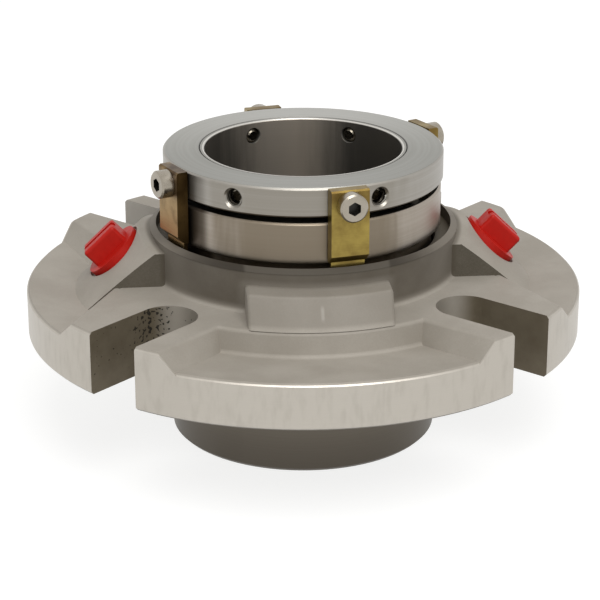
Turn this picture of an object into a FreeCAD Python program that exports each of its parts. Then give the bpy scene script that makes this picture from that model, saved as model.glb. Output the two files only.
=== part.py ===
import FreeCAD, Part
import math
import os
import Sketcher
from FreeCAD import Placement, Rotation, Vector

# Double cartridge mechanical seal for a pump shaft, resting upright on the end of its nose.
# Millimetres. The shaft runs along Z. Z = 0 is the gland's mating face: the nose hangs below it,
# into the pump, and the clamp ring is at the top. Angles on the seal are turned from -Y towards +X.

# Driving dimensions, kept in the sheet under these names
DIMENSIONS = {
    # Shaft and sleeve
    "shaft_diameter": 50.0,
    "shaft_clearance": 0.02,
    "sleeve_wall": 1.98,
    "sleeve_clamp_wall": 1.08,
    "sleeve_recess": 0.8,
    "sleeve_flange_length": 4.4,
    "sleeve_end_drop": 0.1,
    "sleeve_edge": 0.3,
    "shaft_ring_cord": 2.2,
    "shaft_ring_inset": 0.6,
    # Clearances
    "slip_clearance": 0.05,
    "film_gap": 0.05,
    "sleeve_gap": 0.8,
    "face_room": 4.5,
    "bore_gap": 0.6,
    "holder_gap": 1.0,
    "pin_clearance": 0.2,
    # Gland
    "gland_diameter": 142.0,
    "nose_length": 27.8,
    "nose_wall": 2.7,
    "machined_chamfer": 0.8,
    "pad_height": 16.0,
    "rim_height": 11.7,
    "rim_chamfer": 0.7,
    "pocket_floor": 10.0,
    "step_width": 10.9,
    "step_draft": 1.2,
    "hub_height": 27.6,
    "clip_foot_room": 1.1,
    "lip_wall": 1.6,
    "lip_fall": 1.0,
    "recess_depth": 3.1,
    "holder_bore_floor": 16.2,
    "rib_thickness": 4.0,
    "cast_radius": 1.0,
    # Bolt slots and their pads
    "slot_width": 14.5,
    "slot_inset": 11.9,
    "pad_start": 4.7,
    "pad_margin": 6.2,
    "pad_slope": 5.0,
    "pad_slope_at_start": 0.4,
    "pad_web": 16.8,
    "pad_web_slope": 5.0,
    # Plain bosses at the front and back
    "boss_height": 23.3,
    "boss_width": 35.2,
    "boss_depth": 6.3,
    # Port bosses
    "port_boss_width": 31.0,
    "port_boss_crest": 26.4,
    "port_boss_crown": 68.0,
    "port_boss_inset": 7.3,
    "port_boss_reach": 21.9,
    "port_tilt": 46.0,
    "port_height": 20.4,
    "port_seat_radius": 8.4,
    "port_seat_depth": 1.0,
    "port_diameter": 13.2,
    "port_depth": 11.0,
    "port_passage": 5.0,
    # Port plugs
    "plug_flange_diameter": 15.5,
    "plug_flange_thickness": 1.8,
    "plug_head_length": 10.4,
    "plug_head_width": 6.6,
    "plug_head_height": 4.9,
    "plug_head_radius": 0.8,
    "plug_slot_width": 1.6,
    "plug_slot_depth": 1.2,
    "plug_shank_length": 8.0,
    "plug_shank_wall": 1.4,
    "plug_fit": 0.1,
    # Gland O-ring
    "gland_ring_margin": 2.25,
    "gland_ring_cord": 2.6,
    # Seal faces
    "rotary_length": 5.5,
    "outboard_stationary_length": 10.6,
    "spring_room": 2.6,
    "spring_strip": 0.4,
    "spring_inset": 0.4,
    "spring_width": 1.8,
    "face_travel": 1.5,
    "face_relief": 1.3,
    "face_land": 4.0,
    "track_width": 2.4,
    "track_height": 1.6,
    "ring_cord": 1.6,
    "ring_groove_margin": 0.2,
    # Rings above the gland
    "holder_collar": 2.15,
    "holder_skirt_wall": 1.9,
    "holder_edge_height": 27.5,
    "holder_top_height": 38.0,
    "holder_skirt_rise": 2.0,
    "holder_ring_offset": 3.2,
    "clamp_overhang": 0.5,
    "clamp_gap": 1.6,
    "clamp_length": 7.4,
    "ring_chamfer": 0.5,
    # Retaining ring
    "retaining_groove_depth": 0.8,
    "retaining_thickness": 0.7,
    "retaining_width": 2.3,
    "retaining_opening": 40.0,
    # Setscrews
    "setscrew_diameter": 4.2,
    "setscrew_drop": 3.8,
    "setscrew_sink": 2.4,
    "setscrew_countersink": 0.5,
    "setscrew_socket": 2.5,
    "setscrew_socket_depth": 2.5,
    "setscrew_point": 0.9,
    # Setting clips and their screws
    "clip_width": 9.5,
    "clip_thickness": 2.95,
    "clip_foot_width": 8.5,
    "clip_foot_thickness": 1.05,
    "clip_foot_entry": 1.4,
    "clip_shoulder_gap": 1.0,
    "clip_edge": 0.4,
    "clip_screw_drop": 3.7,
    "clip_screw_diameter": 4.0,
    "clip_screw_length": 8.0,
    "clip_screw_gap": 0.1,
    "clip_head_diameter": 7.0,
    "clip_head_height": 3.1,
    "clip_head_edge": 0.4,
    "clip_head_socket": 3.0,
    "clip_head_socket_depth": 1.8,
    # Pins
    "drive_pin_diameter": 3.0,
    "drive_pin_entry": 3.0,
    "face_pin_diameter": 1.4,
    "face_pin_entry": 1.8,
    "face_pin_inset": 0.6,
    "stop_pin_diameter": 2.0,
    "stop_pin_seat": 2.1,
    "stop_pin_reach": 2.1,
    "stop_pin_offset": 2.2,
}

# Places round the axis, in degrees
SLOT_ANGLES = [45, 135, 225, 315]
PORT_SIDE_OF_SLOT = [1, -1, 1, -1]
SETSCREW_ANGLES = [26, 86, 146, 206, 266, 326]
CLIP_SIDES = ["front", "right", "back", "left"]
CLIP_ANGLES = [11.5, 116.5, 191.5, 295.0]
DRIVE_PIN_ANGLES = [56, 236]
FACE_PIN_ANGLES = [90, 270]
STOP_PIN_ANGLES = [0, 180]
PORT_SIDES = {"left": -1, "right": 1}

doc = FreeCAD.newDocument("cartridge_seal")
sheet = doc.addObject("Spreadsheet::Sheet", "Sizes")
for row, (name, value) in enumerate(DIMENSIONS.items(), start=1):
    sheet.set("A%d" % row, name)
    sheet.set("B%d" % row, str(value))
    sheet.setAlias("B%d" % row, name)
doc.recompute()


def size(name):
    """The sheet's cell as a term of an expression."""
    return "Sizes." + name


def half(name):
    return "(%s / 2)" % size(name)


def number(expression):
    """What an expression comes to with the sheet as it stands."""
    return float(sheet.evalExpression(expression))


# Shared clearances and edges
SLIP = size("slip_clearance")
CHAMFER = size("machined_chamfer")
EDGE = size("ring_chamfer")
CORD = size("ring_cord")

# Radii worked out from the driving dimensions
BORE = "(%s + %s)" % (half("shaft_diameter"), size("shaft_clearance"))
SLEEVE = "(%s + %s)" % (BORE, size("sleeve_wall"))
SLIP_BORE = "(%s + %s)" % (SLEEVE, SLIP)
CLAMP_SEAT = "(%s + %s)" % (BORE, size("sleeve_clamp_wall"))
RETAINING_FLOOR = "(%s - %s)" % (SLEEVE, size("retaining_groove_depth"))
GLAND = half("gland_diameter")
GLAND_BORE = "(%s + %s)" % (SLEEVE, size("face_room"))
NOSE = "(%s + %s)" % (GLAND_BORE, size("nose_wall"))
RIB_BORE = "(%s + %s)" % (SLEEVE, size("sleeve_gap"))
ROTARY = "(%s - %s)" % (GLAND_BORE, size("bore_gap"))
STATIONARY = "(%s - %s)" % (GLAND_BORE, SLIP)
RELIEF = "(%s - %s)" % (STATIONARY, size("face_relief"))
TRACK = "(%s + %s)" % (RIB_BORE, size("track_width"))
CAVITY = "(%s + %s)" % (ROTARY, SLIP)
SKIRT = "(%s + %s)" % (CAVITY, size("holder_skirt_wall"))
HOLDER_BORE = "(%s + %s)" % (SKIRT, size("holder_gap"))
HOLDER = "(%s + %s)" % (SKIRT, size("holder_collar"))
CLAMP = "(%s + %s)" % (HOLDER, size("clamp_overhang"))
CLAMP_BORE = "(%s + %s)" % (CLAMP_SEAT, SLIP)
CLIP_BACK = "(%s + %s)" % (CLAMP, SLIP)
CLIP_FACE = "(%s + %s)" % (CLIP_BACK, size("clip_thickness"))
CLIP_FOOT_FACE = "(%s + %s)" % (CLIP_BACK, size("clip_foot_thickness"))
RECESS = "(%s + %s)" % (CLIP_FOOT_FACE, size("clip_foot_room"))
HUB = "(%s + %s)" % (RECESS, size("lip_wall"))
STEP = "(%s + %s)" % (HUB, size("step_width"))
BOSS = "(%s + %s)" % (HUB, size("boss_depth"))
SLOT_END = "(%s + %s)" % (HUB, size("slot_inset"))
PORT_CENTRE = "(%s - %s)" % (RIB_BORE, size("port_boss_inset"))
DRIVE_PIN_CIRCLE = "((%s + %s) / 2)" % (SLEEVE, HOLDER)
STOP_SEAT = "(%s + %s)" % (GLAND_BORE, size("stop_pin_seat"))
STOP_TIP = "(%s - %s)" % (GLAND_BORE, size("stop_pin_reach"))

# Heights worked out from the driving dimensions
NOSE_END = "(-%s)" % size("nose_length")
SLEEVE_END = "(%s + %s)" % (NOSE_END, size("sleeve_recess"))
FLANGE_TOP = "(%s + %s)" % (SLEEVE_END, size("sleeve_flange_length"))
INNER_ROTARY_BASE = "(%s + %s)" % (FLANGE_TOP, SLIP)
INNER_ROTARY_FACE = "(%s + %s)" % (INNER_ROTARY_BASE, size("rotary_length"))
INNER_STATIONARY_FACE = "(%s + %s)" % (INNER_ROTARY_FACE, size("film_gap"))
HALF_RIB = half("rib_thickness")
STATIONARY_BACK = "(%s + %s)" % (HALF_RIB, size("spring_room"))
OUTER_STATIONARY_FACE = "(%s + %s)" % (STATIONARY_BACK, size("outboard_stationary_length"))
OUTER_ROTARY_FACE = "(%s + %s)" % (OUTER_STATIONARY_FACE, size("film_gap"))
OUTER_ROTARY_BASE = "(%s + %s)" % (OUTER_ROTARY_FACE, size("rotary_length"))
HOLDER_SEAT = "(%s + %s)" % (OUTER_ROTARY_BASE, SLIP)
SKIRT_END = "(%s + %s)" % (OUTER_ROTARY_FACE, size("holder_skirt_rise"))
HOLDER_EDGE = size("holder_edge_height")
HOLDER_TOP = size("holder_top_height")
RETAINING_BASE = "(%s + %s)" % (HOLDER_TOP, SLIP)
RETAINING_TOP = "(%s + %s)" % (RETAINING_BASE, size("retaining_thickness"))
CLAMP_BASE = "(%s + %s)" % (HOLDER_TOP, size("clamp_gap"))
CLAMP_TOP = "(%s + %s)" % (CLAMP_BASE, size("clamp_length"))
SLEEVE_TOP = "(%s - %s)" % (CLAMP_TOP, size("sleeve_end_drop"))
RECESS_FLOOR = "(%s - %s)" % (size("hub_height"), size("recess_depth"))
CLIP_FOOT_END = "(%s - %s)" % (size("hub_height"), size("clip_foot_entry"))
CLIP_SHOULDER = "(%s + %s)" % (size("hub_height"), size("clip_shoulder_gap"))
CLIP_SCREW_HEIGHT = "(%s - %s)" % (CLAMP_TOP, size("clip_screw_drop"))
SETSCREW_HEIGHT = "(%s - %s)" % (CLAMP_TOP, size("setscrew_drop"))
OUTER_STOP = "(%s + %s)" % (STATIONARY_BACK, size("stop_pin_offset"))
INNER_STOP = "(-%s)" % OUTER_STOP

# An O-ring's groove: as deep as its cord with a clearance at each side
GROOVE_DEPTH = "(%s + 2 * %s)" % (CORD, SLIP)
GROOVE_WIDTH = "(%s + 2 * %s)" % (CORD, size("ring_groove_margin"))
RING_INSET = "(%s + %s / 2)" % (SLIP, CORD)
SLEEVE_GROOVE = "(%s + %s)" % (SLEEVE, GROOVE_DEPTH)


def origin_plane(body, role):
    return next(item for item in body.Origin.OriginFeatures if item.Role == role)


def draw(sketch, corners):
    """Closes a run of straight lines through corners, each tied by its two coordinates."""
    places = [Vector(number(across), number(up), 0) for across, up in corners]
    count = len(places)
    for i in range(count):
        sketch.addGeometry(Part.LineSegment(places[i], places[(i + 1) % count]), False)
    for i in range(count):
        sketch.addConstraint(Sketcher.Constraint("Coincident", i, 2, (i + 1) % count, 1))
    for i, (across, up) in enumerate(corners):
        for kind, axis, expression in (("DistanceX", -2, across), ("DistanceY", -1, up)):
            if expression == "0":
                sketch.addConstraint(Sketcher.Constraint("PointOnObject", i, 1, axis))
            else:
                tie = sketch.addConstraint(Sketcher.Constraint(kind, -1, 1, i, 1, number(expression)))
                sketch.setExpression("Constraints[%d]" % tie, expression)


def sketched(label, corners):
    """A body with a closed outline on its upright plane."""
    body = doc.addObject("PartDesign::Body", label)
    body.Label = label
    sketch = body.newObject("Sketcher::SketchObject", label + "_outline")
    sketch.AttachmentSupport = (origin_plane(body, "XZ_Plane"), [""])
    sketch.MapMode = "FlatFace"
    draw(sketch, corners)
    return body, sketch


def turned(label, section):
    """A piece turned about the shaft axis from its half section of (radius, height) corners."""
    body, sketch = sketched(label, section)
    turn = body.newObject("PartDesign::Revolution", label + "_turned")
    turn.Profile = sketch
    turn.ReferenceAxis = (sketch, ["V_Axis"])
    turn.Angle = 360
    return body


def lofted(label, near, near_outline, far, far_outline):
    """A bar with straight sides between two outlines, drawn at two distances in front of the axis."""
    body = doc.addObject("PartDesign::Body", label)
    body.Label = label
    sections = []
    for end, distance, outline in (("near", near, near_outline), ("far", far, far_outline)):
        sketch = body.newObject("Sketcher::SketchObject", "%s_%s" % (label, end))
        sketch.AttachmentSupport = (origin_plane(body, "XZ_Plane"), [""])
        sketch.MapMode = "FlatFace"
        sketch.setExpression("AttachmentOffset.Base.z", distance)
        draw(sketch, outline)
        sections.append(sketch)
    loft = body.newObject("PartDesign::AdditiveLoft", label + "_loft")
    loft.Profile = sections[0]
    loft.Sections = sections[1:]
    loft.Ruled = True
    return body


def extruded(label, outline, width):
    """A bar with the given outline, centred on the outline's plane."""
    body, sketch = sketched(label, outline)
    pad = body.newObject("PartDesign::Pad", label + "_pad")
    pad.Profile = sketch
    pad.Midplane = True
    pad.setExpression("Length", width)
    return body


def solid(kind, label, **sizes):
    """A primitive whose properties are tied to expressions."""
    item = doc.addObject("Part::" + kind, label)
    for name, expression in sizes.items():
        item.setExpression(name, expression)
    return item


def place(item, rotation=Rotation(), x="0", y="0", z="0"):
    """Turns item, then moves it to a place given by expressions."""
    item.Placement = Placement(Vector(number(x), number(y), number(z)), rotation)
    for axis, expression in (("x", x), ("y", y), ("z", z)):
        if expression != "0":
            item.setExpression("Placement.Base." + axis, expression)
    return item


def fused(label, items):
    join = doc.addObject("Part::MultiFuse", label)
    join.Shapes = items
    return join


def cut(label, base, tools):
    result = doc.addObject("Part::Cut", label)
    result.Base = base
    result.Tool = tools[0] if len(tools) == 1 else fused(label + "_tools", tools)
    return result


def common(label, items):
    result = doc.addObject("Part::MultiCommon", label)
    result.Shapes = items
    return result


def compound(label, items):
    group = doc.addObject("Part::Compound", label)
    group.Links = items
    return group


def rounded(label, base, radius, chosen):
    """Rounds those edges of base for which chosen says yes."""
    doc.recompute()
    edges = [i for i, edge in enumerate(base.Shape.Edges, start=1) if chosen(edge)]
    result = doc.addObject("Part::Fillet", label)
    result.Base = base
    result.Edges = [(i, radius, radius) for i in edges]
    return result


def edge_middle(edge):
    return edge.valueAt((edge.FirstParameter + edge.LastParameter) / 2)


def radial(angle):
    """Turns a piece drawn along +Z so that it points outwards at an angle round the axis."""
    return Rotation(Vector(0, 0, 1), angle - 90) * Rotation(Vector(0, 1, 0), 90)


def outwards(angle, radius):
    """Expressions of x and y for a radius at an angle round the axis."""
    across = math.sin(math.radians(angle))
    along = -math.cos(math.radians(angle))
    return {"x": "%.12f * %s" % (across, radius), "y": "%.12f * %s" % (along, radius)}


def radial_cylinder(label, angle, height, inner, outer, radius):
    """A round bar pointing outwards from one radius of the seal to another."""
    bar = solid("Cylinder", label, Radius=radius, Height="%s - %s" % (outer, inner))
    return place(bar, radial(angle), z=height, **outwards(angle, "(%s)" % inner))


def radial_cone(label, angle, height, inner, outer, inner_radius, outer_radius):
    """A round bar pointing outwards that goes from one thickness to another."""
    bar = solid("Cone", label, Radius1=inner_radius, Radius2=outer_radius, Height="%s - %s" % (outer, inner))
    return place(bar, radial(angle), z=height, **outwards(angle, "(%s)" % inner))


def radial_box(label, angle, inner, outer, width, low, high):
    """A square bar pointing outwards from one radius of the seal to another."""
    box = solid("Box", label, Length="%s - %s" % (outer, inner), Width=width, Height="%s - %s" % (high, low))
    turn = math.radians(angle - 90)
    box.Placement = Placement(Vector(), Rotation(Vector(0, 0, 1), angle - 90))
    box.setExpression("Placement.Base.x", "%.12f * (%s) + %.12f * (%s) / 2" % (math.cos(turn), inner, math.sin(turn), width))
    box.setExpression("Placement.Base.y", "%.12f * (%s) - %.12f * (%s) / 2" % (math.sin(turn), inner, math.cos(turn), width))
    box.setExpression("Placement.Base.z", low)
    return box


def axial_cylinder(label, angle, circle, low, high, radius):
    """A round bar along the shaft, on a circle about it."""
    bar = solid("Cylinder", label, Radius=radius, Height="%s - %s" % (high, low))
    return place(bar, z=low, **outwards(angle, "(%s)" % circle))


def cord_ring(label, radius, height, cord=CORD):
    """An O-ring."""
    ring = solid("Torus", label, Radius1=radius, Radius2="%s / 2" % cord)
    return place(ring, z=height)


# Gland: the casting's outside
CAST = number(size("cast_radius"))
CLOSE = 0.01
gland_blank = turned("gland_blank", [
    ("0", NOSE_END),
    ("%s - %s" % (NOSE, CHAMFER), NOSE_END),
    (NOSE, "%s + %s" % (NOSE_END, CHAMFER)),
    (NOSE, "0"),
    ("%s - %s" % (GLAND, size("rim_chamfer")), "0"),
    (GLAND, size("rim_chamfer")),
    (GLAND, "%s - %s" % (size("rim_height"), size("rim_chamfer"))),
    ("%s - %s" % (GLAND, size("rim_chamfer")), size("rim_height")),
    ("%s + %s" % (STEP, size("step_draft")), size("pocket_floor")),
    (STEP, size("pad_height")),
    (HUB, size("pad_height")),
    (HUB, "%s - %s" % (size("hub_height"), size("lip_fall"))),
    (RECESS, size("hub_height")),
    ("0", size("hub_height")),
])

# The casting's soft corners at the foot of the hub and along the step
FOOT_PLACES = [(HUB, size("pad_height")), (STEP, size("pad_height")),
               ("%s + %s" % (STEP, size("step_draft")), size("pocket_floor"))]


def at_foot(edge):
    """Whether a circle of the blank is one of those corners."""
    point = edge_middle(edge)
    return any(math.hypot(math.hypot(point.x, point.y) - number(radius), point.z - number(height)) < CLOSE
               for radius, height in FOOT_PLACES)


gland_casting = rounded("gland_casting", gland_blank, CAST, at_foot)

# The raised pads beside the slots. Each falls steeply beside the hub and gently at the rim, and its
# side towards the port widens into a web that meets the port boss. port_side is 1 where the port lies
# beyond the pad's +X side as drawn, else -1.
PAD_TOP = "(%s + %s)" % (half("slot_width"), size("pad_margin"))
PAD_START = "(%s + %s)" % (HUB, size("pad_start"))
PAD_END = "(%s + 1)" % GLAND


def pad_outline(port_side, plain_root, web_top, web_root, floor):
    """A pad's cross-section, whose sides pass the floor at the two roots and run on below it."""
    plain = "-" if port_side > 0 else ""
    web = "" if port_side > 0 else "-"
    deeper = "(%s - %s) / (%s - %s)" % (size("pad_height"), size("rim_chamfer"), size("pad_height"), floor)
    return [
        (plain + PAD_TOP, size("pad_height")),
        ("%s(%s + (%s - %s) * %s)" % (plain, PAD_TOP, plain_root, PAD_TOP, deeper), size("rim_chamfer")),
        ("%s(%s + (%s - %s) * %s)" % (web, web_top, web_root, web_top, deeper), size("rim_chamfer")),
        (web + web_top, size("pad_height")),
    ]


START_ROOT = "(%s + %s)" % (PAD_TOP, size("pad_slope_at_start"))
END_ROOT = "(%s + %s)" % (PAD_TOP, size("pad_slope"))
WEB_TOP = "(%s + %s)" % (half("slot_width"), size("pad_web"))
WEB_ROOT = "(%s + %s)" % (WEB_TOP, size("pad_web_slope"))
pad_bars = []
for angle, port_side in zip(SLOT_ANGLES, PORT_SIDE_OF_SLOT):
    bar = lofted("pad_bar_%d" % angle,
                 PAD_START, pad_outline(port_side, START_ROOT, WEB_TOP, WEB_ROOT, size("pocket_floor")),
                 PAD_END, pad_outline(port_side, END_ROOT, PAD_TOP, END_ROOT, size("rim_height")))
    top = rounded("pad_%d" % angle, bar, CAST, lambda edge: edge_middle(edge).z > number(size("pad_height")) - CLOSE
                  and edge.Length > number(half("gland_diameter")) - number(PAD_START))
    top.Placement = Placement(Vector(), Rotation(Vector(0, 0, 1), angle))
    pad_bars.append(top)
rim_disc = turned("rim_disc", [
    ("0", "0"),
    ("%s - %s" % (GLAND, size("rim_chamfer")), "0"),
    (GLAND, size("rim_chamfer")),
    (GLAND, "%s - %s" % (size("pad_height"), size("rim_chamfer"))),
    ("%s - %s" % (GLAND, size("rim_chamfer")), size("pad_height")),
    ("0", size("pad_height")),
])
slot_pads = common("slot_pads", [fused("pad_bars", pad_bars), rim_disc])

# Plain bosses: parallel sides and a conical front that leans outwards down to the top of the step
plain_bosses = []


def outside_the_hub(edge):
    """Whether an edge of a boss is in sight, above the pads."""
    point = edge_middle(edge)
    return point.z > number(size("pad_height")) + CLOSE and math.hypot(point.x, point.y) > number(HUB)


BOSS_RISE = "(%s - %s)" % (size("boss_height"), size("pad_height"))
for label, y in (("front_boss", "-" + GLAND), ("back_boss", "0")):
    block = solid("Box", label + "_block", Length=size("boss_width"), Width=GLAND, Height=BOSS_RISE)
    place(block, x="-" + half("boss_width"), y=y, z=size("pad_height"))
    front = solid("Cone", label + "_front", Radius1=STEP, Radius2=BOSS, Height=BOSS_RISE)
    place(front, z=size("pad_height"))
    core = solid("Cylinder", label + "_core", Radius="%s - 1" % RECESS, Height=size("hub_height"))
    outer = cut(label + "_outer", common(label + "_whole", [block, front]), [core])
    plain_bosses.append(rounded(label, outer, CAST, outside_the_hub))

# Port bosses: flat sides, a crowned top and a conical front that carries the inclined port
TILT = size("port_tilt")
PORT_RISE = "(%s - %s)" % (size("port_boss_crest"), size("rim_chamfer"))
port_bosses = []
for side, hand in PORT_SIDES.items():
    block = solid("Box", "port_block_" + side, Length=GLAND, Width=size("port_boss_width"), Height=PORT_RISE)
    place(block, x="0" if hand > 0 else "-" + GLAND, y="-" + half("port_boss_width"), z=size("rim_chamfer"))
    crown = solid("Cylinder", "port_crown_" + side, Radius=size("port_boss_crown"), Height=size("gland_diameter"))
    place(crown, Rotation(Vector(0, 1, 0), 90), x="-" + GLAND,
          z="%s - %s" % (size("port_boss_crest"), size("port_boss_crown")))
    front = solid("Cone", "port_front_" + side, Height=PORT_RISE, Radius2=size("port_boss_reach"),
                  Radius1="%s + %s * tan(%s)" % (size("port_boss_reach"), PORT_RISE, TILT))
    place(front, x="%d * %s" % (hand, PORT_CENTRE), z=size("rim_chamfer"))
    port_bosses.append(common("port_boss_" + side, [block, crown, front]))

gland_outside = fused("gland_outside", [gland_casting, slot_pads] + plain_bosses + port_bosses)

# Gland: the bore, with the recess under the lip and the rib between the two springs
gland_cavity = turned("gland_cavity", [
    ("0", "%s - 1" % NOSE_END),
    ("%s + %s" % (GLAND_BORE, CHAMFER), "%s - 1" % NOSE_END),
    ("%s + %s" % (GLAND_BORE, CHAMFER), NOSE_END),
    (GLAND_BORE, "%s + %s" % (NOSE_END, CHAMFER)),
    (GLAND_BORE, "-" + HALF_RIB),
    (RIB_BORE, "-" + HALF_RIB),
    (RIB_BORE, HALF_RIB),
    (GLAND_BORE, HALF_RIB),
    (GLAND_BORE, size("holder_bore_floor")),
    (HOLDER_BORE, size("holder_bore_floor")),
    (HOLDER_BORE, RECESS_FLOOR),
    (RECESS, RECESS_FLOOR),
    (RECESS, "%s + 1" % size("hub_height")),
    ("0", "%s + 1" % size("hub_height")),
])

# Gland: the groove in the mating face
GLAND_CORD = size("gland_ring_cord")
GLAND_GROOVE_IN = "(%s + %s)" % (NOSE, size("gland_ring_margin"))
GLAND_GROOVE_OUT = "(%s + %s + 2 * %s)" % (GLAND_GROOVE_IN, GLAND_CORD, SLIP)
GLAND_GROOVE_TOP = "(%s + 2 * %s)" % (GLAND_CORD, SLIP)
gland_groove = turned("gland_groove", [
    (GLAND_GROOVE_IN, "-1"),
    (GLAND_GROOVE_OUT, "-1"),
    (GLAND_GROOVE_OUT, GLAND_GROOVE_TOP),
    (GLAND_GROOVE_IN, GLAND_GROOVE_TOP),
])

# Gland: the open bolt slots
slot_cuts = []
for angle in SLOT_ANGLES:
    slot_cuts.append(axial_cylinder("slot_end_%d" % angle, angle, SLOT_END, "-1",
                                    "(%s + 1)" % size("pad_height"), half("slot_width")))
    slot_cuts.append(radial_box("slot_run_%d" % angle, angle, SLOT_END, "(%s + 1)" % GLAND,
                                size("slot_width"), "-1", "(%s + 1)" % size("pad_height")))

# Gland: the ports, whose axes lean up and out, square to the conical fronts at port_height
PORT_RADIUS = "(%s + %s + (%s - %s) * tan(%s))" % (
    PORT_CENTRE, size("port_boss_reach"), size("port_boss_crest"), size("port_height"), TILT)


def port_place(item, hand, depth):
    """Sets item, drawn along +Z, on a port's axis, starting this deep below the conical front."""
    place(item, Rotation(Vector(0, hand, 0), 90 - number(TILT)),
          x="%d * (%s - (%s) * cos(%s))" % (hand, PORT_RADIUS, depth, TILT),
          z="%s - (%s) * sin(%s)" % (size("port_height"), depth, TILT))
    item.setExpression("Placement.Rotation.Angle", "90 - %s" % TILT)
    return item


PORT_RUN = "((%s - %s) / cos(%s))" % (PORT_RADIUS, RIB_BORE, TILT)
port_cuts = []
for side, hand in PORT_SIDES.items():
    seat = solid("Cylinder", "port_seat_" + side, Radius=size("port_seat_radius"), Height=size("port_depth"))
    thread = solid("Cylinder", "port_thread_" + side, Radius=half("port_diameter"), Height=size("port_depth"))
    passage = solid("Cylinder", "port_passage_" + side, Radius=half("port_passage"), Height=PORT_RUN)
    port_cuts.append(port_place(seat, hand, size("port_seat_depth")))
    port_cuts.append(port_place(thread, hand, size("port_depth")))
    port_cuts.append(port_place(passage, hand, PORT_RUN))

# Pins in the gland's bore stop the stationary faces turning
stop_holes = []
stop_pin_list = []
for angle in STOP_PIN_ANGLES:
    for side, height in (("inboard", INNER_STOP), ("outboard", OUTER_STOP)):
        name = "%s_%d" % (side, angle)
        stop_holes.append(radial_cylinder("stop_hole_" + name, angle, height, "(%s - 1)" % GLAND_BORE,
                                          "(%s + %s)" % (STOP_SEAT, SLIP),
                                          "%s + %s" % (half("stop_pin_diameter"), SLIP)))
        stop_pin_list.append(radial_cylinder("stop_pin_" + name, angle, height, STOP_TIP, STOP_SEAT,
                                             half("stop_pin_diameter")))
compound("stop_pins", stop_pin_list)

cut("gland", gland_outside, [gland_cavity, gland_groove] + slot_cuts + port_cuts + stop_holes)
cord_ring("gland_o_ring", "(%s + %s) / 2" % (GLAND_GROOVE_IN, GLAND_GROOVE_OUT),
          "%s / 2 + %s" % (GLAND_CORD, SLIP), GLAND_CORD)

# Port plugs, each drawn with its flange's underside at Z = 0
PLUG_FLANGE = size("plug_flange_thickness")
PLUG_TOP = "(%s + %s)" % (PLUG_FLANGE, size("plug_head_height"))
for side, hand in PORT_SIDES.items():
    flange = solid("Cylinder", "plug_flange_" + side, Radius=half("plug_flange_diameter"), Height=PLUG_FLANGE)
    bar = solid("Box", "plug_bar_" + side, Length=size("plug_head_length"), Width=size("plug_head_width"),
                Height=PLUG_TOP)
    place(bar, x="-" + half("plug_head_length"), y="-" + half("plug_head_width"))
    head = rounded("plug_head_" + side, bar, number(size("plug_head_radius")),
                   lambda edge: edge_middle(edge).z > CLOSE)
    shank = solid("Cylinder", "plug_shank_" + side, Radius="%s - %s" % (half("port_diameter"), size("plug_fit")),
                  Height=size("plug_shank_length"))
    place(shank, z="-" + size("plug_shank_length"))
    hollow = solid("Cylinder", "plug_hollow_" + side, Height=size("plug_shank_length"),
                   Radius="%s - %s - %s" % (half("port_diameter"), size("plug_fit"), size("plug_shank_wall")))
    place(hollow, z="-" + size("plug_shank_length"))
    slot = solid("Box", "plug_slot_" + side, Length="%s + 2" % size("plug_head_length"),
                 Width=size("plug_slot_width"), Height="%s + 1" % size("plug_slot_depth"))
    place(slot, x="-%s - 1" % half("plug_head_length"), y="-" + half("plug_slot_width"),
          z="%s - %s" % (PLUG_TOP, size("plug_slot_depth")))
    plug = cut("port_plug_" + side, fused("plug_body_" + side, [flange, head, shank]), [hollow, slot])
    port_place(plug, hand, size("port_seat_depth"))

# Sleeve, with a flange at the pump end and a thinner seat for the clamp ring at the other
SHAFT_CORD = size("shaft_ring_cord")
SHAFT_GROOVE_LOW = "(%s + %s)" % (SLEEVE_END, size("shaft_ring_inset"))
SHAFT_GROOVE_HIGH = "(%s + %s + 2 * %s)" % (SHAFT_GROOVE_LOW, SHAFT_CORD, size("ring_groove_margin"))
SHAFT_GROOVE = "(%s + %s + 2 * %s)" % (BORE, SHAFT_CORD, SLIP)
CLAMP_SHOULDER = "(%s - %s)" % (CLAMP_BASE, SLIP)
SLEEVE_EDGE = size("sleeve_edge")
sleeve_tube = turned("sleeve_tube", [
    ("%s + %s" % (BORE, SLEEVE_EDGE), SLEEVE_END),
    ("%s - %s" % (ROTARY, EDGE), SLEEVE_END),
    (ROTARY, "%s + %s" % (SLEEVE_END, EDGE)),
    (ROTARY, FLANGE_TOP),
    (SLEEVE, FLANGE_TOP),
    (SLEEVE, HOLDER_TOP),
    (RETAINING_FLOOR, HOLDER_TOP),
    (RETAINING_FLOOR, "%s + %s" % (RETAINING_TOP, SLIP)),
    (SLEEVE, "%s + %s" % (RETAINING_TOP, SLIP)),
    (SLEEVE, CLAMP_SHOULDER),
    (CLAMP_SEAT, CLAMP_SHOULDER),
    (CLAMP_SEAT, SLEEVE_TOP),
    ("%s + %s" % (BORE, SLEEVE_EDGE), SLEEVE_TOP),
    (BORE, "%s - %s" % (SLEEVE_TOP, SLEEVE_EDGE)),
    (BORE, SHAFT_GROOVE_HIGH),
    (SHAFT_GROOVE, SHAFT_GROOVE_HIGH),
    (SHAFT_GROOVE, SHAFT_GROOVE_LOW),
    (BORE, SHAFT_GROOVE_LOW),
    (BORE, "%s + %s" % (SLEEVE_END, SLEEVE_EDGE)),
])
cord_ring("shaft_o_ring", "%s + %s + %s / 2" % (BORE, SLIP, SHAFT_CORD),
          "(%s + %s) / 2" % (SHAFT_GROOVE_LOW, SHAFT_GROOVE_HIGH), SHAFT_CORD)

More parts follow.
